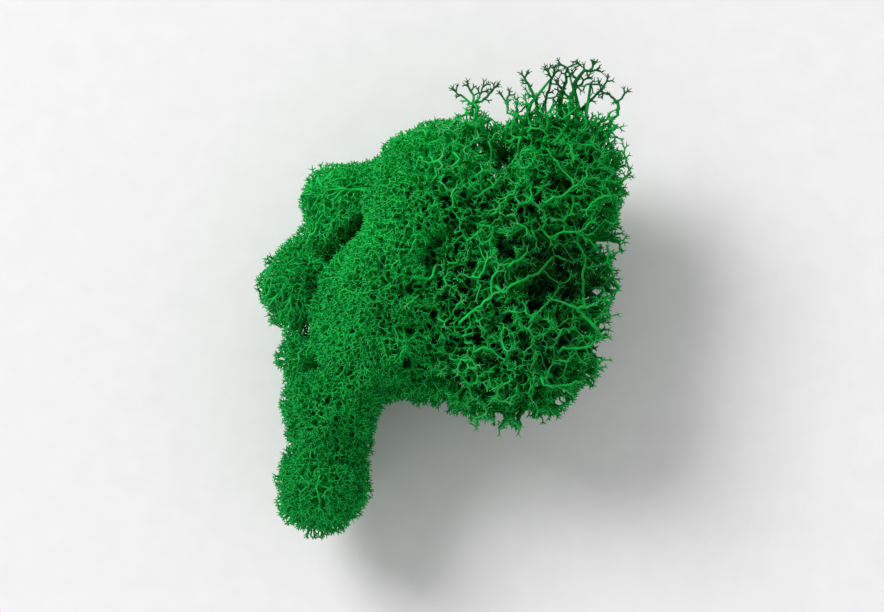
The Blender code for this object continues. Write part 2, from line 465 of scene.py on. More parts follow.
def plant_stems(name):
    """Starts the stems of one head on its foot and returns their ends."""
    foot = [point for point in solids[name][0] if point.z < CUT_HEIGHT]
    low_x, high_x = min(p.x for p in foot), max(p.x for p in foot)
    low_y, high_y = min(p.y for p in foot), max(p.y for p in foot)
    tops = []
    for step_x in range(int((high_x - low_x) / STEM_STEP) + 1):
        for step_y in range(int((high_y - low_y) / STEM_STEP) + 1):
            x = low_x + step_x * STEM_STEP + chance.uniform(-STEM_JITTER, STEM_JITTER)
            y = low_y + step_y * STEM_STEP + chance.uniform(-STEM_JITTER, STEM_JITTER)
            tops.append(Vector((x, y, STEM_RISE)))
    tops = [top for top in tops if is_inside(name, top) and depth_below_skin(top)[0] > STEM_MARGIN]
    for _ in range(STEM_TRIES):
        top = Vector((chance.uniform(low_x, high_x), chance.uniform(low_y, high_y), STEM_RISE))
        apart = all((top - other).length > STEM_ROOM for other in tops)
        if len(tops) < FEWEST_STEMS and apart and is_inside(name, top):
            tops.append(top)
    ends = []
    for top in tops:
        root = add_point(Vector((top.x, top.y, 0.0)), -1, name, UP)
        ends.append(add_point(top, root, name, UP))
    return ends


growing = []
for name in solids:
    ends = plant_stems(name)
    growing += ends
    print(name, "stems:", len(ends))

# %% [markdown]
# Chance alone would miss what is clearest in the photograph: the long pale arms that cross the dark
# hollows on the right, the sprigs that stand out behind, and the fine net of forks on the open side.
# The arms and sprigs are laid point by point as they are seen from above. The forks are those of the
# net planned before. Some of them are left out by chance, and so are some of their arms. Only the
# heights come from the solids: the arms and the net lie just under the surface, and the sprigs run
# through the middle of the space that the solids give them.

# %% Arms and sprigs read from the photograph
ARMS = (
    ((10.2, 0.6), (12.0, 1.8), (14.0, 2.7), (16.0, 3.7), (17.2, 4.8), (18.4, 6.3), (19.4, 7.5),
     (19.2, 8.8)),
    ((19.4, 7.5), (20.9, 6.6), (22.3, 6.7), (23.5, 6.8)),
    ((17.2, 4.8), (18.5, 3.5), (20.2, 2.3), (21.3, 2.8), (22.2, 3.8)),
    ((15.4, -4.0), (16.4, -2.8), (17.6, -1.5), (18.7, -0.5), (19.4, 0.8), (20.0, 1.7)),
    ((27.5, -6.0), (26.1, -4.6), (24.4, -3.2), (23.2, -1.9), (22.0, -1.5), (20.4, -0.8), (18.9, -0.4)),
    ((23.2, -1.9), (24.6, -1.6), (25.9, -1.1), (26.9, -0.4), (27.5, 0.4)),
    ((24.6, -1.6), (24.4, 0.5), (24.3, 2.4), (24.2, 4.2), (24.6, 5.6), (24.8, 7.2), (24.2, 8.4),
     (23.3, 9.5)),
    ((24.6, 5.6), (25.6, 5.4)),
    ((30.8, 2.4), (30.3, 3.4), (29.9, 4.6), (29.3, 5.9), (28.6, 6.8), (27.0, 6.1)),
    ((28.6, 6.8), (29.0, 8.6)),
    ((27.9, 2.4), (29.1, 0.8), (28.2, 0.2)),
    ((20.0, 10.9), (21.7, 11.2), (23.3, 11.2), (24.5, 10.3), (25.7, 9.9), (26.4, 9.2)),
    ((11.8, 5.2), (13.4, 6.2), (15.0, 5.7)),
    ((13.4, 6.2), (14.6, 7.6)),
    ((15.6, 11.0), (16.3, 9.9), (16.2, 8.8)),
    ((18.8, 16.7), (20.2, 17.1), (21.4, 17.9), (22.3, 18.8), (23.4, 19.4)),
    ((19.2, 23.5), (20.2, 22.4), (21.2, 21.4), (22.3, 20.3)),
    ((29.0, 17.8), (27.9, 17.7), (26.7, 17.0), (25.6, 15.9), (24.8, 15.0)),
    ((25.2, 11.1), (26.1, 11.9), (27.0, 12.9), (28.2, 13.9), (29.7, 13.4)),
    ((29.8, 20.4), (31.1, 21.5), (32.2, 22.4)),
    ((1.6, -6.0), (3.2, -4.5), (4.6, -3.2), (6.0, -2.1), (7.6, -0.8), (9.0, 0.4), (10.2, 0.6)),
    ((0.4, -4.6), (1.6, -3.3), (2.5, -1.6), (3.3, -1.1)),
    ((-1.4, 8.0), (0.2, 7.2), (1.6, 5.8), (2.8, 4.6), (3.6, 3.4)),
    ((1.6, 5.8), (0.2, 4.4)),
    ((8.4, -0.2), (8.4, 1.6), (8.6, 3.0), (9.4, 3.9)),
    ((6.4, 2.8), (7.2, 4.6), (7.8, 6.2)),
    ((-4.0, -0.2), (-4.9, -1.0), (-5.8, -1.8)),
    ((-1.6, 3.2), (-1.1, 5.0), (-0.4, 6.6)),
    ((5.9, -12.3), (5.2, -10.9), (3.2, -10.7), (2.7, -12.2)),
    ((5.4, -9.6), (7.0, -8.8), (8.7, -9.3), (9.7, -10.3)),
    ((17.4, -15.0), (19.8, -15.0), (21.6, -15.8), (22.8, -16.4)),
    ((19.8, -15.0), (21.8, -14.8), (22.9, -14.2), (24.0, -14.0)),
    ((20.8, -8.6), (23.4, -8.7), (25.3, -8.2), (26.5, -7.0)),
    ((2.0, 24.4), (3.0, 23.3), (1.9, 22.1)),
    ((8.4, 26.4), (8.5, 24.6), (8.2, 22.9)),
    ((13.2, 26.8), (13.3, 25.4), (12.2, 24.0), (11.2, 22.6)),
    ((6.0, 16.9), (7.2, 17.9), (8.6, 18.6), (9.3, 19.9)),
)
SPRIGS = (
    ((5.2, 32.4), (5.4, 33.8), (4.4, 34.4), (3.3, 35.3), (2.4, 35.9)),
    ((5.4, 33.8), (5.5, 34.9), (5.0, 36.0), (4.5, 36.9)),
    ((5.4, 33.8), (6.3, 34.8), (6.8, 35.8), (7.2, 36.8)),
    ((5.4, 33.8), (6.9, 34.3), (7.8, 35.1), (8.6, 36.0), (9.0, 36.6)),
    ((11.3, 32.4), (11.2, 34.0), (10.4, 35.2)),
    ((11.2, 34.0), (11.6, 35.4)),
    ((13.0, 33.0), (13.0, 34.6)),
    ((16.6, 33.4), (16.2, 34.9), (15.5, 36.1), (14.9, 37.3), (14.3, 38.3)),
    ((14.9, 37.3), (15.5, 38.2)),
    ((16.2, 34.9), (15.0, 35.5)),
    ((17.4, 33.6), (18.1, 35.3), (18.6, 36.8), (18.9, 38.2), (19.5, 39.1)),
    ((18.9, 38.2), (18.3, 39.4)),
    ((20.6, 33.2), (20.2, 34.8), (20.9, 36.4), (21.5, 37.6), (21.3, 38.9), (21.7, 40.0), (20.6, 40.5)),
    ((21.7, 40.0), (22.6, 40.5)),
    ((20.9, 36.4), (20.0, 37.2)),
    ((22.6, 33.0), (22.4, 34.8), (22.9, 36.4), (23.4, 38.0), (24.2, 39.1), (25.6, 39.5), (26.6, 39.7)),
    ((24.2, 39.1), (24.6, 40.0), (23.9, 40.6)),
    ((25.6, 39.5), (26.1, 40.5)),
    ((22.4, 34.8), (21.3, 35.6)),
    ((23.4, 38.0), (22.5, 38.9)),
    ((22.9, 36.4), (24.2, 37.2), (25.0, 38.1)),
    ((24.2, 33.0), (25.1, 34.0), (26.3, 35.1), (27.2, 35.9), (27.3, 36.8)),
    ((27.2, 35.9), (27.9, 36.9), (28.5, 37.7)),
    ((30.5, 32.2), (30.5, 33.9), (29.7, 35.0), (28.9, 35.8), (28.0, 35.9)),
    ((28.9, 35.8), (29.4, 36.6)),
    ((30.5, 33.9), (31.1, 34.9), (31.6, 35.8)),
)
ARM_BELOW_TOP = 0.45
ARM_RADIUS, SPRIG_RADIUS, END_RADIUS = 0.27, 0.21, 0.17
STRAND_RADIUS = 0.17
ROUTE_STEP = 0.7
ROUTE_WAVE = 0.10
ROUTE_ROOM = 0.85
SAME_PLACE = 0.3
SPRIG_SHARE_UP, SPRIG_RISE = (0.42, 0.62), 0.2
NET_FROM, NET_OVER, NET_LOWEST, NET_MOST_OPEN = 0.15, 0.5, 20.0, 0.6
NET_CLEAR = 1.1
FORKS_KEPT, ARMS_KEPT, DARK_FORKS_LOST = 0.72, 0.78, 0.75
NET_SINK, NET_STEM, NET_REACH = (0.3, 1.7), 1.8, (0.35, 0.85)
NET_LEAN, NET_BEND, NET_SAG, NET_DROP = 0.6, 0.18, 0.25, 3.0


def heights_at(place):
    """Returns the heights between which moss lies at a place, or nothing where there is none."""
    tops, bottoms = [], []
    for points, triangles, tree in solids.values():
        from_above = tree.ray_cast(Vector((place[0], place[1], 100.0)), -UP)[0]
        from_below = tree.ray_cast(Vector((place[0], place[1], -10.0)), UP)[0]
        if from_above is not None:
            tops.append(from_above.z)
            bottoms.append(from_below.z)
    return (min(bottoms), max(tops)) if tops else None


def lay_route(plan, is_sprig):
    """Turns a route seen from above into closely set points in space."""
    share = chance.uniform(*SPRIG_SHARE_UP)
    knots = []
    for place in plan:
        heights = heights_at(place)
        if heights is not None:
            z = mix(heights[0], heights[1], share) if is_sprig else heights[1] - ARM_BELOW_TOP
        elif knots:
            z = knots[-1].z + SPRIG_RISE
        else:
            continue
        knots.append(Vector((*place, z)))
    route = []
    for a, b in zip(knots, knots[1:]):
        steps = max(1, round((b - a).length / ROUTE_STEP))
        for step in range(steps):
            wave = Vector(chance.gauss(0.0, ROUTE_WAVE) for _ in range(3)) if step else Vector()
            route.append(a.lerp(b, step / steps) + wave)
    return route + knots[-1:]


def is_clear(place):
    """Says whether a place is clear of the drawn arms and sprigs, seen from above."""
    return all((place - other).length > NET_CLEAR for other in drawn)


def lay_strands(number, ends):
    """Lays one fork of the net: a short stem comes up to it, and arms leave it towards these ends."""
    fork_place = net_forks[number]
    heights = heights_at(fork_place)
    if heights is None or not is_clear(fork_place):
        return []
    sink = chance.uniform(*NET_SINK)
    top = Vector((fork_place.x, fork_place.y, heights[1] - sink))
    share = smooth((region(top) - NET_FROM) / NET_OVER) * FORKS_KEPT
    share *= 1.0 - DARK_FORKS_LOST * darkness(top)
    if chance.random() > share or openness(top) > NET_MOST_OPEN or top.z < NET_LOWEST:
        return []
    lean = Vector((chance.uniform(-NET_LEAN, NET_LEAN), chance.uniform(-NET_LEAN, NET_LEAN), -NET_STEM))
    laid_arms = []
    for end in ends:
        reach = fork_place.lerp(end, chance.uniform(*NET_REACH))
        bend = fork_place.lerp(reach, 0.5)
        bend += Vector((chance.gauss(0.0, NET_BEND), chance.gauss(0.0, NET_BEND)))
        route = [top + lean, top] if not laid_arms else [top]
        for place in (bend, reach):
            heights = heights_at(place)
            if heights is None or heights[1] < top.z - NET_DROP:
                break
            route.append(Vector((*place, heights[1] - sink - NET_SAG * len(route))))
        laid_arms.append(route)
    return laid_arms


routes = [(lay_route(plan, False), ARM_RADIUS) for plan in ARMS]
routes += [(lay_route(plan, True), SPRIG_RADIUS) for plan in SPRIGS]
drawn = [place.to_2d() for route, radius in routes for place in route]
route_tree = tree_of([place for route, radius in routes for place in route])
strand_arms = []
for number in range(len(net_forks)):
    ends = [net_forks[b if a == number else a] for a, b in net_sides if number in (a, b)]
    for arm in lay_strands(number, ends):
        if chance.random() < ARMS_KEPT:
            strand_arms.append((arm, STRAND_RADIUS))
routes += strand_arms
print("laid routes:", len(routes))

# %% Let the twigs fork
BODY_EDGE = 32.2
EDGE_BUMPS = ((5.2, 1.8, 1.5), (14.6, 3.0, 2.1), (22.2, 2.0, 2.6))
EDGE_SOFTNESS = 1.5


def body_edge(x):
    """How far back the closed moss reaches; only laid sprigs stand behind it."""
    edge = BODY_EDGE
    for middle, half, height in EDGE_BUMPS:
        edge += height * (1.0 - smooth(abs(x - middle) / (EDGE_SOFTNESS * half)))
    return edge


def growth_at(point):
    """Returns the way out, the arm length, the room and how deep and how low a point is, as shares."""
    depth, way_out = depth_below_skin(point)
    low = smooth(1.0 - point.z / STEM_HEIGHT)
    deep = max(smooth((depth - FINE_FROM) / FINE_DEPTH), low)
    is_open = region(point) * (1.0 - deep)
    arm = mix(ARM_AT_SKIN, ARM_INSIDE, deep) * (1.0 + ARM_WHEN_OPEN * is_open)
    room = mix(ROOM_AT_SKIN, ROOM_INSIDE, deep) * (1.0 + ROOM_WHEN_OPEN * is_open)
    room = mix(room, ROOM_IN_MAT, smooth(MAT_FIRMNESS * (1.0 - point.z / MAT_HEIGHT)))
    room *= 1.0 - DARK_CROWDING * darkness(point)
    return way_out, arm, room, deep, low


def skin_gap(point):
    """How far under the skin the twigs stop here."""
    return SKIN_GAP + OPEN_GAP * openness(point)


def is_free(point):
    """Says whether chance growth may come to a place: not to the laid arms or among the sprigs."""
    return point.y < body_edge(point.x) and route_tree.find(point)[2] > ROUTE_ROOM


def around(axis):
    """Returns two directions square to an axis, and a chance turn for the first arm around it."""
    side = axis.orthogonal().normalized()
    return side, axis.cross(side), chance.uniform(0.0, math.tau)


def leaning(axis, side, across, azimuth, angle):
    """Returns an axis that leans by this angle to one side."""
    outwards = side * math.cos(azimuth) + across * math.sin(azimuth)
    return axis * math.cos(angle) + outwards * math.sin(angle)


def fork(number):
    """Grows the arms of one fork and returns their ends."""
    start, direction = places[number], directions[number]
    way_out, arm, room, deep, low = growth_at(start)
    axis = direction * AXIS_ONWARDS + way_out * (AXIS_OUTWARDS * (1.0 - deep))
    axis += UP * (AXIS_UPWARDS[0] * low + AXIS_UPWARDS[1])
    axis += Vector(chance.gauss(0.0, AXIS_SHAKE) for _ in range(3))
    axis.normalize()
    arms = chance.choices(*(ARMS_NEAR_SKIN if deep < DEEP_FORK else ARMS_DEEP))[0]
    side, across, turn = around(axis)
    own, ends = [number], []
    for index in range(arms):
        for shrink in ARM_SHRINKS:
            angle = math.radians(chance.uniform(*FORK_ANGLE)) * mix(1.0, DEEP_ANGLE, deep)
            if arms == 1:
                angle *= LONE_ANGLE
            azimuth = turn + math.tau * index / arms
            azimuth += chance.uniform(-TURN_SPREAD, TURN_SPREAD) * (2.0 - shrink)
            first = leaning(axis, side, across, azimuth, angle)
            last = leaning(axis, side, across, azimuth, angle * END_ANGLE)
            length = arm * shrink * chance.uniform(*ARM_SPREAD)
            middle = start + first * (length * HALF_ARM)
            end = middle + last * (length * HALF_ARM)
            gap = SKIN_GAP if chance.random() < BRIDGE_CHANCE else skin_gap(end)
            if end.z < LOWEST or depth_below_skin(end)[0] < gap or not is_free(end):
                continue
            if has_room(end, room, own) and has_room(middle, room * MID_ROOM, own):
                middle_number = add_point(middle, number, owners[number], first)
                end_number = add_point(end, middle_number, owners[number], last)
                own += [middle_number, end_number]
                ends.append(end_number)
                break
    return ends


def grow_out(growing):
    """Lets these twigs fork until no arm finds room."""
    while growing:
        chance.shuffle(growing)
        growing = [end for number in growing for end in fork(number)]


grow_out(growing)
print("twig points:", len(places))

# %% Join the laid routes to the moss
TIP_RADIUS = 0.155
END_ARMS = ((2, 3, 3), (1, 2, 2))
END_LENGTH = (0.6, 1.1)
SIDE_SPREAD, END_SPREAD = (45.0, 75.0), (28.0, 52.0)
SIDE_CHANCE, SPRIG_SIDE_CHANCE = 0.10, 0.38
least_radius = {}


def dress(number, arms, spread):
    """Adds a few short arms at one point of a laid route."""
    start, direction = places[number], directions[number]
    side, across, turn = around(direction)
    for index in range(arms):
        angle = math.radians(chance.uniform(*spread))
        heading = leaning(direction, side, across, turn + math.tau * index / arms, angle)
        end = add_point(start + heading * chance.uniform(*END_LENGTH), number, owners[number], heading)
        least_radius[end] = TIP_RADIUS


grown = tree_of(places)
laid = []
for route, radius in routes:
    if len(route) < 2:
        continue
    begin = next((other for place, other in laid if (place - route[0]).length < SAME_PLACE), None)
    parent = grown.find(route[0])[1] if begin is None else begin
    for step, place in enumerate(route):
        if step == 0 and begin is not None:
            continue
        heading = (place - places[parent]).normalized()
        parent = add_point(place, parent, owners[parent], heading)
        laid.append((place, parent))
        least_radius[parent] = mix(radius, END_RADIUS, step / (len(route) - 1))
        if chance.random() < (SPRIG_SIDE_CHANCE if radius == SPRIG_RADIUS else SIDE_CHANCE):
            dress(parent, 1, SIDE_SPREAD)
    dress(parent, chance.choice(END_ARMS[radius == STRAND_RADIUS]), END_SPREAD)
print("laid points:", len(laid))

# %% [markdown]
# Twigs that fork outwards leave gaps between them, as spokes do. The real lichen fills these with side
# arms. So the moss is searched on a fine, shaken grid, and where a place has no twig near it, a side arm
# grows towards it from the nearest twig that already points roughly that way, and then forks on.

# %% Fill the gaps with side arms
FILL_ROUNDS = 6
FILL_STEP = 1.1
FILL_DEPTH = 16.0
FILL_LEAST, FILL_REACH = 0.6, 3.8
FILL_ROOM = 0.95
FILL_NEAREST = 16
FILL_AIM = 0.1
FILL_BEND = 0.35
MOST_ARMS = 3
TOO_FEW = 20


def shaken_grid():
    """Lists the places of a shaken grid in the moss, the deepest first, with their depth and room."""
    low = [side / MM for side in cad_box[0]]
    counts = [int((cad_box[1][axis] - cad_box[0][axis]) / MM / FILL_STEP) for axis in range(3)]
    found = []
    for step_x in range(counts[0]):
        for step_y in range(counts[1]):
            for step_z in range(counts[2]):
                shaken = [step + chance.random() for step in (step_x, step_y, step_z)]
                place = Vector(low[axis] + shaken[axis] * FILL_STEP for axis in range(3))
                if place.z < LOWEST:
                    continue
                nearest, normal, index, distance = skin.find_nearest(place, FILL_DEPTH)
                if nearest is None and place.z < MAT_HEIGHT:
                    distance = FILL_DEPTH
                elif nearest is None:
                    continue
                if in_moss(place) and distance > skin_gap(place) and is_free(place):
                    found.append((distance, place, growth_at(place)[2]))
    found.sort(key=lambda entry: -entry[0])
    return found


def side_arm(tree, goal):
    """Grows a side arm towards an empty place and returns its end, or nothing."""
    for start, number, distance in tree.find_n(goal, FILL_NEAREST):
        aim = (goal - start).normalized().dot(directions[number])
        if distance > FILL_REACH or distance < FILL_LEAST or aim < FILL_AIM:
            continue
        if start.z < STEM_RISE or arm_counts[number] >= MOST_ARMS:
            continue
        bend = start + directions[number] * (distance * FILL_BEND)
        steps = 2 * max(1, round(distance / growth_at(goal)[1]))
        shares = [step / steps for step in range(1, steps + 1)]
        path = [start.lerp(bend, share).lerp(bend.lerp(goal, share), share) for share in shares]
        if all(point.z > LOWEST and in_moss(point) for point in path[:-1]):
            arm_counts[number] += 1
            for point in path:
                heading = (point - places[number]).normalized()
                number = add_point(point, number, owners[number], heading)
            return number
    return None


grid = shaken_grid()
print("places looked at:", len(grid))
for fill_round in range(FILL_ROUNDS):
    tree = tree_of(places)
    arm_counts = [0] * len(places)
    for parent in parents:
        if parent >= 0:
            arm_counts[parent] += 1
    arms = [side_arm(tree, place) for depth, place, room in grid if has_room(place, room * FILL_ROOM, ())]
    made = [end for end in arms if end is not None]
    grow_out(made)
    print("round", fill_round + 1, "empty:", len(arms), "side arms:", len(made), "points:", len(places))
    if len(made) < TOO_FEW:
        break

# %% [markdown]
# A twig is as thick as what it carries. The old rule for trees works for lichen too: the thickness of a
# branch, raised to a power, is the sum of its arms' thicknesses raised to that power.
#
# Two things are changed. Twigs with much moss above them are made thicker, so that the pale floor
# can't be seen between them. Laid arms are made thinner, as fine as they look in the photograph.

# %% Thickness
THICKEST = 0.85
PIPE_POWER = 3.2
SWELL_FROM, SWELL_OVER, SWELL_LOW, INNER_SWELL = 3.0, 4.0, 9.0, 1.65
SWELL_DEPTH, SWELL_DEPTH_OVER = 0.8, 1.5
LAID_SHARE = 0.8
SPRIG_FROM, SPRIG_FADE, SPRIG_SHARE = 0.5, 3.0, 1.06
children = [[] for _ in places]
for number, parent in enumerate(parents):
    if parent >= 0:
        children[parent].append(number)
carried = [0.0] * len(places)
radii = [0.0] * len(places)
for number in range(len(places) - 1, -1, -1):
    if not children[number]:
        carried[number] = TIP_RADIUS ** PIPE_POWER
    radius = max(carried[number] ** (1.0 / PIPE_POWER), least_radius.get(number, 0.0))
    radii[number] = min(THICKEST, radius)
    if parents[number] >= 0:
        carried[parents[number]] += carried[number]
print("thickest stem:", round(2 * max(radii), 2), "mm")


def behind(place):
    """Says how far a place stands out behind the closed moss, from 0 to 1."""
    return smooth((place.y - body_edge(place.x) + SPRIG_FROM) / SPRIG_FADE)


widths = []
for number, place in enumerate(places):
    covered = skin.ray_cast(place, UP)[3] or 0.0
    inside = smooth((covered - SWELL_FROM) / SWELL_OVER)
    inside *= smooth((skin.find_nearest(place)[3] - SWELL_DEPTH) / SWELL_DEPTH_OVER)
    inside *= smooth((place.z - SWELL_LOW) / SWELL_OVER)
    width = radii[number] * mix(1.0, INNER_SWELL, inside) * mix(1.0, SPRIG_SHARE, behind(place))
    widths.append(min(THICKEST, width * LAID_SHARE if number in least_radius else width))

# %% [markdown]
# The twigs could be drawn one by one. Instead the whole tree is cut into lines: each line starts at a
# fork, follows the thickest arm outwards to its tip, and leaves the other arms to lines of their own.
# A line has a radius, an age and a tint at each of its points. The moss grows outwards, so a point is
# older the deeper it lies, and darker: partly because old stalks are darker and partly as painted shade.
# On the open right side, in the cells of the net and most of all in the big dark hollow, painted shade
# makes the twigs darker still, and a little of it lies over the whole right side. The tint changes slowly
# from tuft to tuft, with painted light and shade that makes it darker to the left and front and lighter
# towards the back. The laid arms have the palest one, a painted sheen, and the sprigs behind go over to
# a dark green.
#
# Every tip near the skin ends in a small star of three or four prongs, which is what gives this moss its
# crumbly surface.

# %% Lines along the twigs
OLD_DEPTH = 12.0
# Painted shade: how much darker the deep twigs, the open side, the cells, the big dark hollow and the right
# side are made.
AGE_SHADE_CLOSED, AGE_SHADE_OPEN = 0.50, 1.70
CELL_SHADE, DARK_HOLLOW_SHADE, DARK_ARM_SHADE, RIGHT_SHADE = 0.16, 0.85, 0.42, 0.13
RIGHT_FROM, RIGHT_OVER = 6.0, 14.0
SHADED_FROM, SHADED_OVER = 18.0, 8.0
RIM_MIDDLE, RIM_REACH = (25.0, -3.0), 6.5
# Painted sheen: the pale, milky tint of the laid arms, palest near the rim.
ARM_SHEEN_TINT, RIM_SHEEN_TINT, ARM_TINT_SPREAD = 0.92, 0.985, 0.01
SPRIG_TINT = 0.02
EVEN_TINT = 0.48
# Painted light and shade: the tint falls to the left and front and rises towards the back.
LIGHT_AND_SHADE_SLOPES = ((0, -18.0, -7.0, -0.22), (1, -5.0, 25.0, 0.24), (1, -8.0, -20.0, -0.14))
TUFT_TINT, TUFT_SIZE, TUFT_PLACE = 0.32, 7.0, Vector((40.0, 0.0, 0.0))
STRAND_TINT, TINT_SPREAD, LEAST_TINT, MOST_TINT = 0.15, 0.10, 0.12, 0.84
STALK_RADIUS = 0.3
FLARE_OF_PARENT, FLARE = 0.92, 1.2
lines = {name: {"stalk": [], "twig": [], "prong": []} for name in solids}


def tint_of(point):
    """A slow change of colour from tuft to tuft, from 0 to 1, with painted shade that makes it darker to the
    left and front and painted light that makes it lighter towards the back.
    """
    even = EVEN_TINT
    for axis, start, over, change in LIGHT_AND_SHADE_SLOPES:
        # Painted light and shade across the clump.
        even += change * smooth((point[axis] - start) / over)
    return even + TUFT_TINT * noise.noise(point / TUFT_SIZE + TUFT_PLACE)


def age_and_shade_of(number):
    """How old and how shaded a point is, from 0 at the skin to 1 deep inside; painted shade adds to it in
    the cells, the hollows, the big dark hollow and on the right side.
    """
    place = places[number]
    depth = skin.find_nearest(place)[3]
    # Deeper twigs are darker: partly the real older stalks, partly painted shade, more so on the open side.
    age_with_shade = depth / OLD_DEPTH * mix(AGE_SHADE_CLOSED, AGE_SHADE_OPEN, region(place))
    # Painted shade: darker in the cells and hollows, darkest in the big dark hollow, a little on the right.
    hollow = CELL_SHADE * openness(place) * smooth(depth)
    hollow += (DARK_ARM_SHADE if number in least_radius else DARK_HOLLOW_SHADE) * darkness(place)
    hollow += RIGHT_SHADE * smooth((place.x - RIGHT_FROM) / RIGHT_OVER)
    return min(1.0, age_with_shade + hollow * smooth((place.z - SHADED_FROM) / SHADED_OVER))


def follow(number):
    """Returns the points of one line from this one outwards."""
    line = [number]
    while children[line[-1]]:
        line.append(max(children[line[-1]], key=lambda child: radii[child]))
    return line


def line_tint(number):
    """The colour share of one line: its tuft's and a little of its own, a little paler along the net's
    strands on the open side; the laid arms are the palest, a painted sheen.
    """
    place = places[number]
    # Painted sheen on the laid arms.
    if number in least_radius and place.y < BODY_EDGE:
        at_rim = 1.0 - smooth(math.hypot(place.x - RIM_MIDDLE[0], place.y - RIM_MIDDLE[1]) / RIM_REACH)
        return mix(ARM_SHEEN_TINT, RIM_SHEEN_TINT, at_rim) + chance.uniform(-ARM_TINT_SPREAD, ARM_TINT_SPREAD)
    strand = STRAND_TINT * region(place) * (1.0 - net(place))
    tint = tint_of(place) + strand + chance.gauss(0.0, TINT_SPREAD)
    return max(LEAST_TINT, min(MOST_TINT, tint))


def tint_at(place, tint):
    """The colour share at one place of a line: it goes over to a darker green in the sprigs."""
    return mix(tint, SPRIG_TINT, behind(place))


started = [number for number, parent in enumerate(parents) if parent < 0]
for number in started:
    line = follow(number)
    for step in line:
        started += [child for child in children[step] if child not in line]
    parent = parents[number]
    tint = line_tint(number)
    entries = [(places[step], widths[step], age_and_shade_of(step), tint_at(places[step], tint)) for step in line]
    if parent >= 0:
        flare = min(widths[parent] * FLARE_OF_PARENT, widths[number] * FLARE)
        entries.insert(0, (places[parent], flare, age_and_shade_of(parent), tint_at(places[parent], tint)))
    kind = "stalk" if radii[number] > STALK_RADIUS else "twig"
    lines[owners[number]][kind].append(entries)
print("lines:", sum(len(kinds["twig"]) + len(kinds["stalk"]) for kinds in lines.values()))

# %% Stars at the tips
STAR_DEPTH = 3.0
PRONG_COUNTS = (3, 4, 4)
PRONG_LENGTH, PRONG_ANGLE, PRONG_TURN = (0.5, 0.9), (32.0, 66.0), 0.25
PRONG_SINK, PRONG_FOOT, PRONG_END, PRONG_END_AGE = 0.05, 0.95, 0.45, 0.7


def add_star(number):
    """Adds the prongs of one tip."""
    start, direction = places[number], directions[number]
    side, across, turn = around(direction)
    count = chance.choice(PRONG_COUNTS)
    tint, age_with_shade = tint_at(start, line_tint(number)), age_and_shade_of(number)
    for index in range(count):
        angle = math.radians(chance.uniform(*PRONG_ANGLE))
        azimuth = turn + math.tau * index / count + chance.uniform(-PRONG_TURN, PRONG_TURN)
        heading = leaning(direction, side, across, azimuth, angle)
        end = start + heading * chance.uniform(*PRONG_LENGTH)
        lines[owners[number]]["prong"].append([
            (start - direction * PRONG_SINK, widths[number] * PRONG_FOOT, age_with_shade, tint),
            (end, widths[number] * PRONG_END, age_with_shade * PRONG_END_AGE, tint),
        ])


for number in range(len(places)):
    if not children[number] and depth_below_skin(places[number])[0] < STAR_DEPTH:
        add_star(number)
print("prongs:", sum(len(kinds["prong"]) for kinds in lines.values()))

# %% [markdown]
# Lines become twigs with a small geometry node tree: a mesh of edges is read as curves, each point's
# radius is taken from its attribute, and a ring with a few corners is swept along every curve. The age,
# which also holds painted shade, and the tint, which also holds painted light, shade and sheen, travel
# along with the points. They are also written to a UV map: each ring becomes a small circle there, around
# its age and tint, so no face has a width of zero on the map.

# %% The tree that turns lines into twigs
UV_CIRCLE = 0.006


def named_float(tree, name):
    """Reads a float attribute by its name."""
    return new_node(tree, "GeometryNodeInputNamedAttribute", {"Name": name}, data_type="FLOAT")


def math_node(tree, operation, *operands):
    """One arithmetic step; its operands are sockets or numbers."""
    node = new_node(tree, "ShaderNodeMath", operation=operation)
    for socket, value in zip(node.inputs, operands):
        if isinstance(value, float):
            socket.default_value = value
        else:
            tree.links.new(value, socket)
    return node.outputs[0]


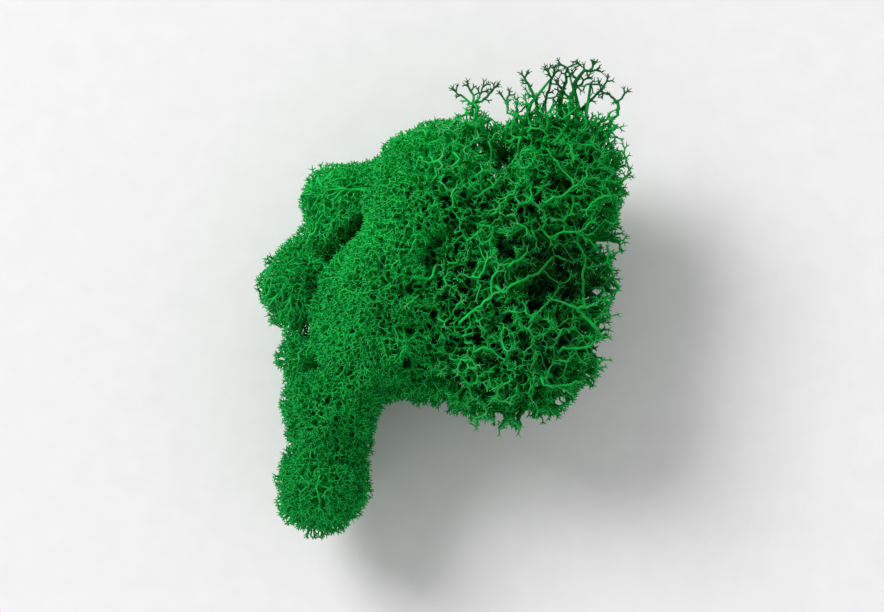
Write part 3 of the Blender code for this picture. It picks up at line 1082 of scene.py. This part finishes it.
def twig_tree():
    """Builds the node tree and returns it with the name of its input for the sides."""
    tree = bpy.data.node_groups.new("twigs_from_lines", "GeometryNodeTree")
    tree.interface.new_socket("Lines", in_out="INPUT", socket_type="NodeSocketGeometry")
    sides = tree.interface.new_socket("Sides", in_out="INPUT", socket_type="NodeSocketInt")
    tree.interface.new_socket("Twigs", in_out="OUTPUT", socket_type="NodeSocketGeometry")
    start = new_node(tree, "NodeGroupInput")
    curves = new_node(tree, "GeometryNodeMeshToCurve")
    ring = new_node(tree, "GeometryNodeCurvePrimitiveCircle", {"Radius": 1.0}, mode="RADIUS")
    share = new_node(tree, "GeometryNodeSplineParameter")
    keep = new_node(tree, "GeometryNodeCaptureAttribute")
    keep.capture_items.new("FLOAT", "around")
    thickness = named_float(tree, "thickness")
    sweep = new_node(tree, "GeometryNodeCurveToMesh", {"Fill Caps": True})
    place = new_node(tree, "ShaderNodeCombineXYZ")
    store = new_node(tree, "GeometryNodeStoreNamedAttribute", data_type="FLOAT2", domain="CORNER")
    store.inputs["Name"].default_value = "OFBake"
    end = new_node(tree, "NodeGroupOutput")
    turn = math_node(tree, "MULTIPLY", keep.outputs["around"], math.tau)
    for axis, name, wave in (("X", "age_and_shade", "COSINE"), ("Y", "tint", "SINE")):
        shift = math_node(tree, "MULTIPLY", math_node(tree, wave, turn), UV_CIRCLE)
        shifted = math_node(tree, "ADD", named_float(tree, name).outputs["Attribute"], shift)
        tree.links.new(shifted, place.inputs[axis])
    wire(
        tree,
        (start, "Lines", curves, "Mesh"),
        (start, "Sides", ring, "Resolution"),
        (ring, "Curve", keep, "Geometry"),
        (share, "Factor", keep, "around"),
        (curves, "Curve", sweep, "Curve"),
        (thickness, "Attribute", sweep, "Scale"),
        (keep, "Geometry", sweep, "Profile Curve"),
        (sweep, "Mesh", store, "Geometry"),
        (place, "Vector", store, "Value"),
        (store, "Geometry", end, "Twigs"),
    )
    return tree, sides.identifier


sweep_tree, sides_input = twig_tree()
print("node tree with", len(sweep_tree.nodes), "nodes")

# %% Draw lines out into twigs
SIDES = {"stalk": 6, "twig": 4, "prong": 3}
AGE_START, AGE_SPAN = 0.02, 0.95


def make_twigs(name, entries, sides):
    """Makes one mesh object of many lines."""
    points, edges, thickness, ages_with_shade, tints = [], [], [], [], []
    for line in entries:
        first = len(points)
        edges += [(step, step + 1) for step in range(first, first + len(line) - 1)]
        for place, radius, age_with_shade, tint in line:
            points.append(place * MM)
            thickness.append(radius * MM)
            ages_with_shade.append(AGE_START + AGE_SPAN * min(1.0, age_with_shade))
            tints.append(tint)
    mesh = bpy.data.meshes.new(name)
    mesh.from_pydata(points, edges, [])
    # The age attribute also carries the painted shade.
    for key, values in (("thickness", thickness), ("age_and_shade", ages_with_shade), ("tint", tints)):
        mesh.attributes.new(key, "FLOAT", "POINT").data.foreach_set("value", values)
    piece = bpy.data.objects.new(name, mesh)
    bpy.context.collection.objects.link(piece)
    bpy.ops.object.select_all(action="DESELECT")
    piece.select_set(True)
    bpy.context.view_layer.objects.active = piece
    sweep = piece.modifiers.new("sweep", "NODES")
    sweep.node_group = sweep_tree
    sweep[sides_input] = sides
    bpy.ops.object.modifier_apply(modifier="sweep")
    return piece


# %% [markdown]
# The dye is a deep green that is nearly free of red. Real dyed moss is matt, a little paler at the
# youngest tips and darker down the old stalks, and no two tufts took the dye quite alike. The age and
# the tint come from the UV map. The age gives the green; its dark end is partly the old stalks and
# partly painted shade of the deep twigs and the hollows. The tint multiplies it, from a dark and dull
# green for the sprigs at one end to a pale, milky one for the laid arms at the other, a painted sheen;
# it also holds painted shade to the left and front. Fine noise adds the mottling and the dry, rough skin.

# %% Moss material
# The dark end of these greens is partly old stalks and partly painted shade.
AGE_AND_SHADE_COLOURS = (
    (0.02, (0.007, 0.44, 0.072, 1.0)),
    (0.16, (0.002, 0.40, 0.055, 1.0)),
    (0.38, (0.0010, 0.24, 0.027, 1.0)),
    (1.0, (0.0005, 0.05, 0.004, 1.0)),
)
# The two top stops turn the laid arms pale and milky, a painted sheen.
TINT_AND_SHEEN_FACTORS = (
    (0.0, (2.2, 0.30, 0.50, 1.0)),
    (0.11, (0.80, 0.78, 0.76, 1.0)),
    (0.86, (1.33, 1.20, 1.14, 1.0)),
    (0.92, (8.0, 1.02, 1.5, 1.0)),
    (1.0, (9.0, 1.35, 1.9, 1.0)),
)
MOTTLE = {"Scale": 900.0, "Detail": 3.0}
GRAIN = {"Scale": 5200.0, "Detail": 2.0}
SPECKLE, ROUGHNESS = {"To Min": 0.72, "To Max": 1.28}, {"To Min": 0.62, "To Max": 0.88}
BUMP = {"Strength": 0.5, "Distance": 0.00008}
SURFACE = {
    "Specular IOR Level": 0.06,
    "Sheen Weight": 0.05,
    "Sheen Roughness": 0.5,
    "Sheen Tint": (0.5, 1.0, 0.6, 1.0),
}


def moss_material():
    """Builds the dyed moss material, with its painted shade and painted sheen."""
    material = bpy.data.materials.new("dyed_moss")
    material.use_nodes = True
    tree = material.node_tree
    shader = tree.nodes["Principled BSDF"]
    for key, value in SURFACE.items():
        shader.inputs[key].default_value = value
    uv = new_node(tree, "ShaderNodeUVMap", uv_map="OFBake")
    split = new_node(tree, "ShaderNodeSeparateXYZ")
    green = colour_ramp(tree, AGE_AND_SHADE_COLOURS)
    shade = colour_ramp(tree, TINT_AND_SHEEN_FACTORS)
    dye = new_node(tree, "ShaderNodeMix", {"Factor": 1.0}, data_type="RGBA", blend_type="MULTIPLY")
    final = new_node(tree, "ShaderNodeMix", {"Factor": 1.0}, data_type="RGBA", blend_type="MULTIPLY")
    coordinates = new_node(tree, "ShaderNodeTexCoord")
    mottle = new_node(tree, "ShaderNodeTexNoise", MOTTLE)
    speckle = new_node(tree, "ShaderNodeMapRange", SPECKLE)
    rough = new_node(tree, "ShaderNodeMapRange", ROUGHNESS)
    grain = new_node(tree, "ShaderNodeTexNoise", GRAIN)
    bump = new_node(tree, "ShaderNodeBump", BUMP)
    wire(
        tree,
        (uv, "UV", split, "Vector"),
        (split, "X", green, "Fac"),
        (split, "Y", shade, "Fac"),
        (green, "Color", dye, "A"),
        (shade, "Color", dye, "B"),
        (coordinates, "Object", mottle, "Vector"),
        (mottle, "Fac", speckle, "Value"),
        (dye, "Result", final, "A"),
        (speckle, "Result", final, "B"),
        (final, "Result", shader, "Base Color"),
        (mottle, "Fac", rough, "Value"),
        (rough, "Result", shader, "Roughness"),
        (coordinates, "Object", grain, "Vector"),
        (grain, "Fac", bump, "Height"),
        (bump, "Normal", shader, "Normal"),
    )
    return material


dyed_moss = moss_material()
print("material:", dyed_moss.name)

# %% [markdown]
# Now each head is made. Its stalks and twigs are one piece and its tips are another, which keeps each
# mesh at a handy size. Both stand in the place of the head's solid.

# %% Make the heads
def finish_piece(parts, name):
    """Joins the swept parts into one smooth piece of moss and puts it in place of its solid."""
    piece = parts[0]
    bpy.ops.object.select_all(action="DESELECT")
    for part in parts:
        part.select_set(True)
    bpy.context.view_layer.objects.active = piece
    if len(parts) > 1:
        bpy.ops.object.join()
    bpy.ops.object.shade_smooth()
    piece.data.materials.clear()
    piece.data.materials.append(dyed_moss)
    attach(piece, "root")
    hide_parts(name)
    piece.data.calc_loop_triangles()
    count = len(piece.data.loop_triangles)
    print(piece.name, count, "triangles")
    return count


total = 0
for name, kinds in lines.items():
    stalks = make_twigs(name + "_stalks", kinds["stalk"], SIDES["stalk"])
    twigs = make_twigs(name + "_twigs", kinds["twig"], SIDES["twig"])
    tips = make_twigs(name + "_tips", kinds["prong"], SIDES["prong"])
    total += finish_piece([stalks, twigs], name) + finish_piece([tips], name)
print("triangles in all:", total)

# %% [markdown]
# Both boxes, of the solids and of the moss, are printed. The moss has to stay in the box of the solids,
# apart from about a hundredth of its size.

# %% Sizes and finish
boxes = {"cad": [list(corner) for corner in cad_box], "visual": [list(corner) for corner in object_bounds()]}
for key, corner_pair in boxes.items():
    print(key, "box in mm:", [[round(part / MM, 1) for part in corner] for corner in corner_pair])
